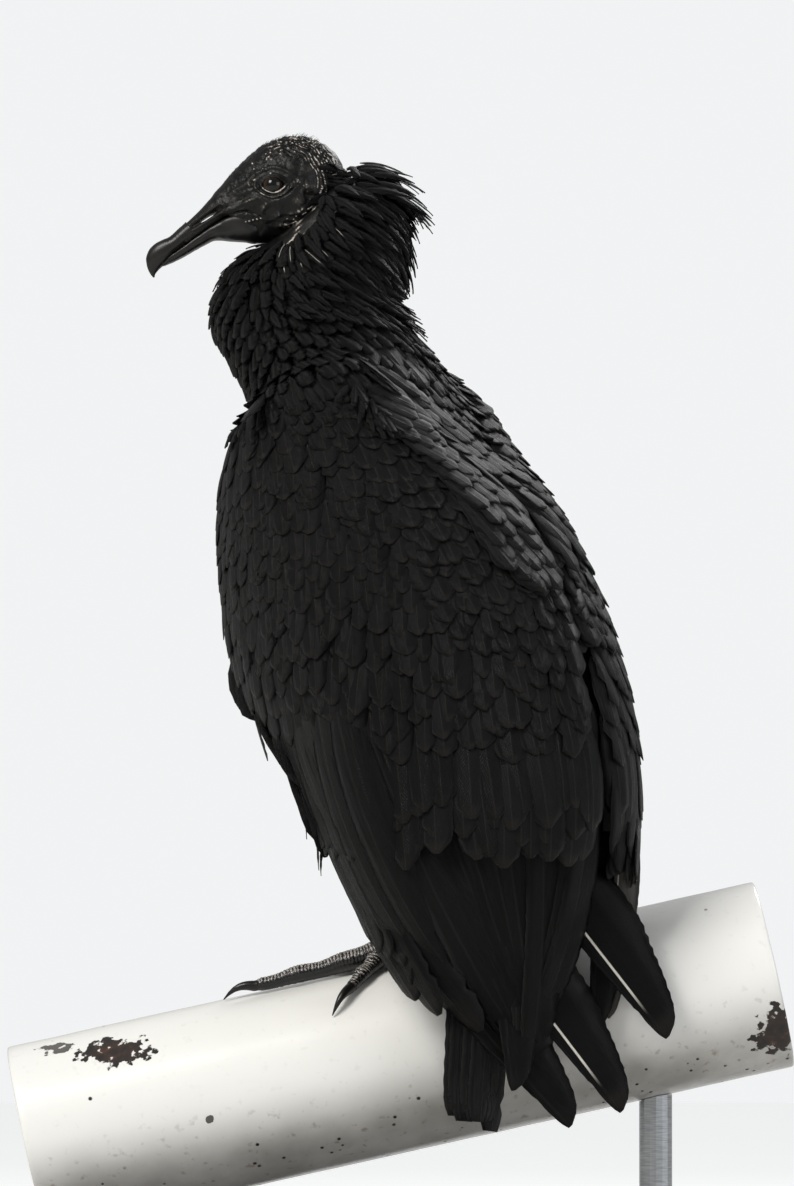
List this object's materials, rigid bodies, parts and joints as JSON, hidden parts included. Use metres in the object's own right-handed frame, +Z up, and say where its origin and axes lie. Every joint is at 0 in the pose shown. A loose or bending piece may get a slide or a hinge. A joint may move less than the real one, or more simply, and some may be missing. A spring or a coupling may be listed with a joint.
{
  "type": "perched black vulture",
  "caption": "Life-size black vulture standing upright with folded wings on a short length of white painted rail, held on a plain display stand.",
  "frame": {"origin": "centre of the stand base's underside", "axes": "+Z up; +X along the rail towards its higher end; the bill points along -X and the bird's left side and back face -Y"},
  "size_m": [0.4324, 0.2519, 0.6596],
  "materials": {
    "plumage": "sooty black feathers with a slight gloss",
    "skin": "bare wrinkled dark grey skin",
    "horn": "dark horn, worn to a soft shine",
    "eye": "wet dark brown eye",
    "scales": "pale grey scaly skin with dark seams",
    "claw": "blunt black claw horn",
    "paint": "white gloss paint on steel, chipped in places",
    "stand": "satin black paint"
  },
  "bodies": {
    "root": {"head": "skin", "neck": "plumage", "trunk": "plumage", "bill_upper": "horn", "bill_lower": "horn", "eye_left": "eye", "eye_right": "eye", "wing_left_coverts": "plumage", "wing_left_secondaries": "plumage", "wing_left_primaries": "plumage", "wing_right_coverts": "plumage", "wing_right_flight": "plumage", "tail": "plumage", "thigh_left": "plumage", "thigh_right": "plumage", "foot_left": "scales", "foot_right": "scales", "claw_left_inner": "claw", "claw_left_middle": "claw", "claw_left_outer": "claw", "claw_left_hind": "claw", "claw_right_inner": "claw", "claw_right_middle": "claw", "claw_right_outer": "claw", "claw_right_hind": "claw", "perch": "paint", "stand_base": "stand", "stand_rod_low": "stand", "stand_rod_high": "stand"}
  },
  "joints": []
}
